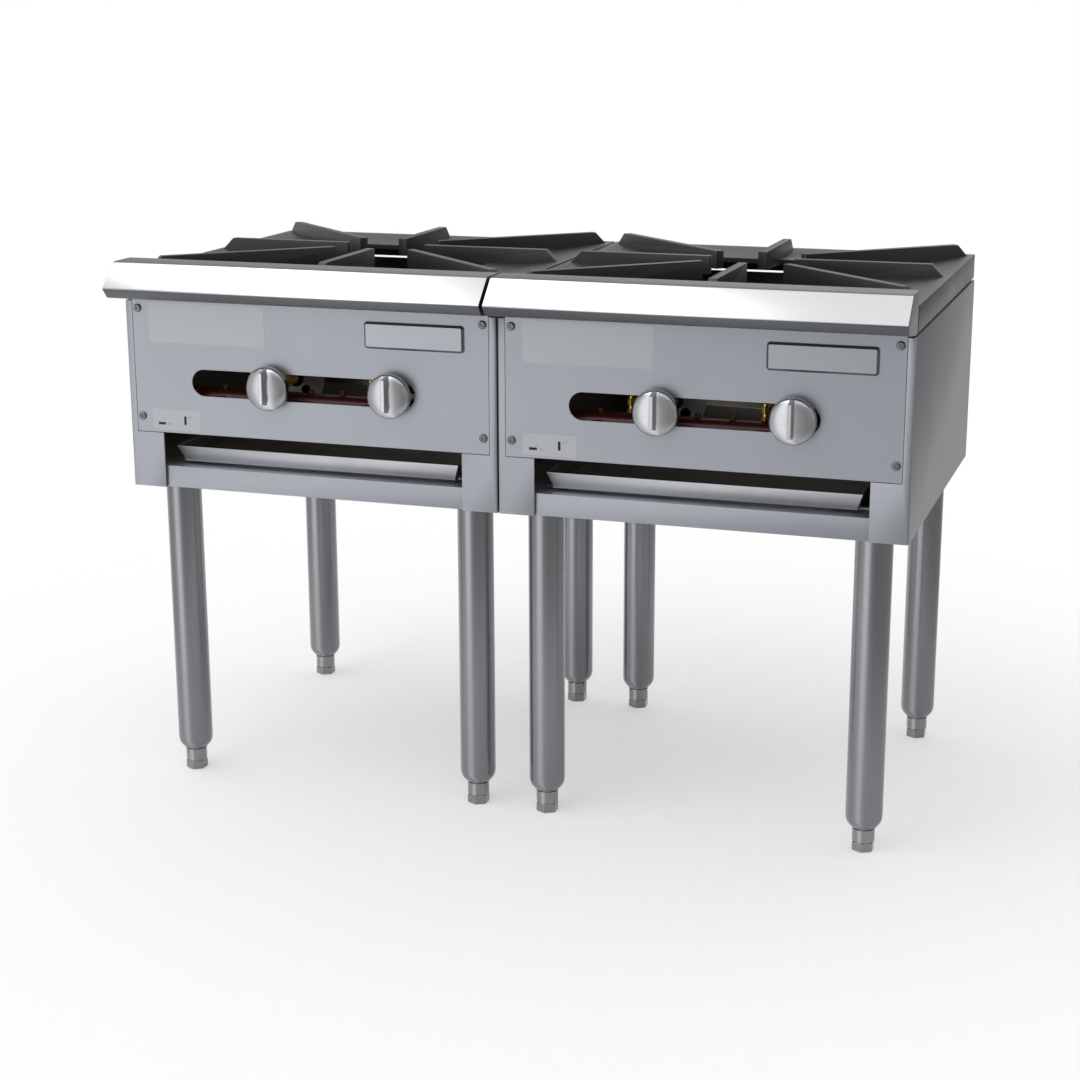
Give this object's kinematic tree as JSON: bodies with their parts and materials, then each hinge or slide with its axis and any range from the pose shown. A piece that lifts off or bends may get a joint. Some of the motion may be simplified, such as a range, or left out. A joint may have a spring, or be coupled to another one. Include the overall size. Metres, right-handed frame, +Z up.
{
  "type": "stock pot range",
  "caption": "Pair of banked stainless gas stock pot ranges on tall round legs, each with a ribbed cast top grate, two knobs and a pull-out drip tray.",
  "frame": {"origin": "on the floor, midway between the two ranges and midway between the rails' noses and the ends of the inlet pipes", "axes": "+X towards the right-hand range, +Y towards the rear, +Z up"},
  "size_m": [0.9132, 0.5404, 0.632],
  "materials": {
    "stainless": "brushed stainless sheet",
    "bright_stainless": "bright polished stainless sheet",
    "nameplate": "satin plate with bevelled bright edges, bare",
    "leg_tube": "brushed stainless tube",
    "foot_steel": "plated steel foot",
    "tray_steel": "brushed stainless sheet",
    "cast_iron": "dark grey cast iron, satin",
    "burner_iron": "raw cast iron, matt",
    "knob_chrome": "satin chrome",
    "brass": "turned brass",
    "gas_pipe": "dark red-brown pipe",
    "copper_tube": "bare copper tube",
    "zinc_plated": "zinc-plated steel"
  },
  "bodies": {
    "cabinets": {"left_left_side_panel": "stainless", "left_right_side_panel": "stainless", "left_rear_panel": "stainless", "left_lower_crossbar": "stainless", "left_control_panel": "stainless", "left_nameplate": "nameplate", "left_front_rail": "bright_stainless", "left_gas_manifold": "gas_pipe", "left_gas_inlet_pipe": "gas_pipe", "left_pilot_burner": "copper_tube", "left_burner_support": "zinc_plated", "left_outer_burner": "burner_iron", "left_inner_burner": "burner_iron", "left_outer_air_shutter": "zinc_plated", "left_inner_air_shutter": "zinc_plated", "left_left_valve": "brass", "left_right_valve": "brass", "right_left_side_panel": "stainless", "right_right_side_panel": "stainless", "right_rear_panel": "stainless", "right_lower_crossbar": "stainless", "right_control_panel": "stainless", "right_nameplate": "nameplate", "right_front_rail": "bright_stainless", "right_gas_manifold": "gas_pipe", "right_gas_inlet_pipe": "gas_pipe", "right_pilot_burner": "copper_tube", "right_burner_support": "zinc_plated", "right_outer_burner": "burner_iron", "right_inner_burner": "burner_iron", "right_outer_air_shutter": "zinc_plated", "right_inner_air_shutter": "zinc_plated", "right_left_valve": "brass", "right_right_valve": "brass", "left_front_left_leg": "leg_tube", "left_front_right_leg": "leg_tube", "left_rear_left_leg": "leg_tube", "left_rear_right_leg": "leg_tube", "right_front_left_leg": "leg_tube", "right_front_right_leg": "leg_tube", "right_rear_left_leg": "leg_tube", "right_rear_right_leg": "leg_tube", "front_banking_bolt": "zinc_plated", "rear_banking_bolt": "zinc_plated"},
    "left_grate": {"left_top_grate": "cast_iron"},
    "left_tray": {"left_drip_tray": "tray_steel"},
    "left_left_knob": {"left_left_knob": "knob_chrome"},
    "left_right_knob": {"left_right_knob": "knob_chrome"},
    "left_front_left_foot": {"left_front_left_foot": "foot_steel"},
    "left_front_right_foot": {"left_front_right_foot": "foot_steel"},
    "left_rear_left_foot": {"left_rear_left_foot": "foot_steel"},
    "left_rear_right_foot": {"left_rear_right_foot": "foot_steel"},
    "right_grate": {"right_top_grate": "cast_iron"},
    "right_tray": {"right_drip_tray": "tray_steel"},
    "right_left_knob": {"right_left_knob": "knob_chrome"},
    "right_right_knob": {"right_right_knob": "knob_chrome"},
    "right_front_left_foot": {"right_front_left_foot": "foot_steel"},
    "right_front_right_foot": {"right_front_right_foot": "foot_steel"},
    "right_rear_left_foot": {"right_rear_left_foot": "foot_steel"},
    "right_rear_right_foot": {"right_rear_right_foot": "foot_steel"}
  },
  "joints": [
    {"name": "left_grate_lift", "type": "slide", "parent": "cabinets", "child": "left_grate", "axis": [0, 0, 1], "range_m": [0, 0.12]},
    {"name": "left_tray_slide", "type": "slide", "parent": "cabinets", "child": "left_tray", "axis": [0, -1, 0], "range_m": [0, 0.36]},
    {"name": "left_left_knob_turn", "type": "hinge", "parent": "cabinets", "child": "left_left_knob", "pos_m": [-0.274, -0.21785, 0.4922], "axis": [0, -1, 0], "range_deg": [-90, 0]},
    {"name": "left_right_knob_turn", "type": "hinge", "parent": "cabinets", "child": "left_right_knob", "pos_m": [-0.1249, -0.21785, 0.4922], "axis": [0, -1, 0], "range_deg": [-90, 0]},
    {"name": "left_front_left_foot_screw", "type": "slide", "parent": "cabinets", "child": "left_front_left_foot", "axis": [0, 0, -1], "range_m": [0, 0.025]},
    {"name": "left_front_right_foot_screw", "type": "slide", "parent": "cabinets", "child": "left_front_right_foot", "axis": [0, 0, -1], "range_m": [0, 0.025]},
    {"name": "left_rear_left_foot_screw", "type": "slide", "parent": "cabinets", "child": "left_rear_left_foot", "axis": [0, 0, -1], "range_m": [0, 0.025]},
    {"name": "left_rear_right_foot_screw", "type": "slide", "parent": "cabinets", "child": "left_rear_right_foot", "axis": [0, 0, -1], "range_m": [0, 0.025]},
    {"name": "right_grate_lift", "type": "slide", "parent": "cabinets", "child": "right_grate", "axis": [0, 0, 1], "range_m": [0, 0.12]},
    {"name": "right_tray_slide", "type": "slide", "parent": "cabinets", "child": "right_tray", "axis": [0, -1, 0], "range_m": [0, 0.36]},
    {"name": "right_left_knob_turn", "type": "hinge", "parent": "cabinets", "child": "right_left_knob", "pos_m": [0.1832, -0.21785, 0.4922], "axis": [0, -1, 0], "range_deg": [-90, 0]},
    {"name": "right_right_knob_turn", "type": "hinge", "parent": "cabinets", "child": "right_right_knob", "pos_m": [0.3323, -0.21785, 0.4922], "axis": [0, -1, 0], "range_deg": [-90, 0]},
    {"name": "right_front_left_foot_screw", "type": "slide", "parent": "cabinets", "child": "right_front_left_foot", "axis": [0, 0, -1], "range_m": [0, 0.025]},
    {"name": "right_front_right_foot_screw", "type": "slide", "parent": "cabinets", "child": "right_front_right_foot", "axis": [0, 0, -1], "range_m": [0, 0.025]},
    {"name": "right_rear_left_foot_screw", "type": "slide", "parent": "cabinets", "child": "right_rear_left_foot", "axis": [0, 0, -1], "range_m": [0, 0.025]},
    {"name": "right_rear_right_foot_screw", "type": "slide", "parent": "cabinets", "child": "right_rear_right_foot", "axis": [0, 0, -1], "range_m": [0, 0.025]}
  ]
}
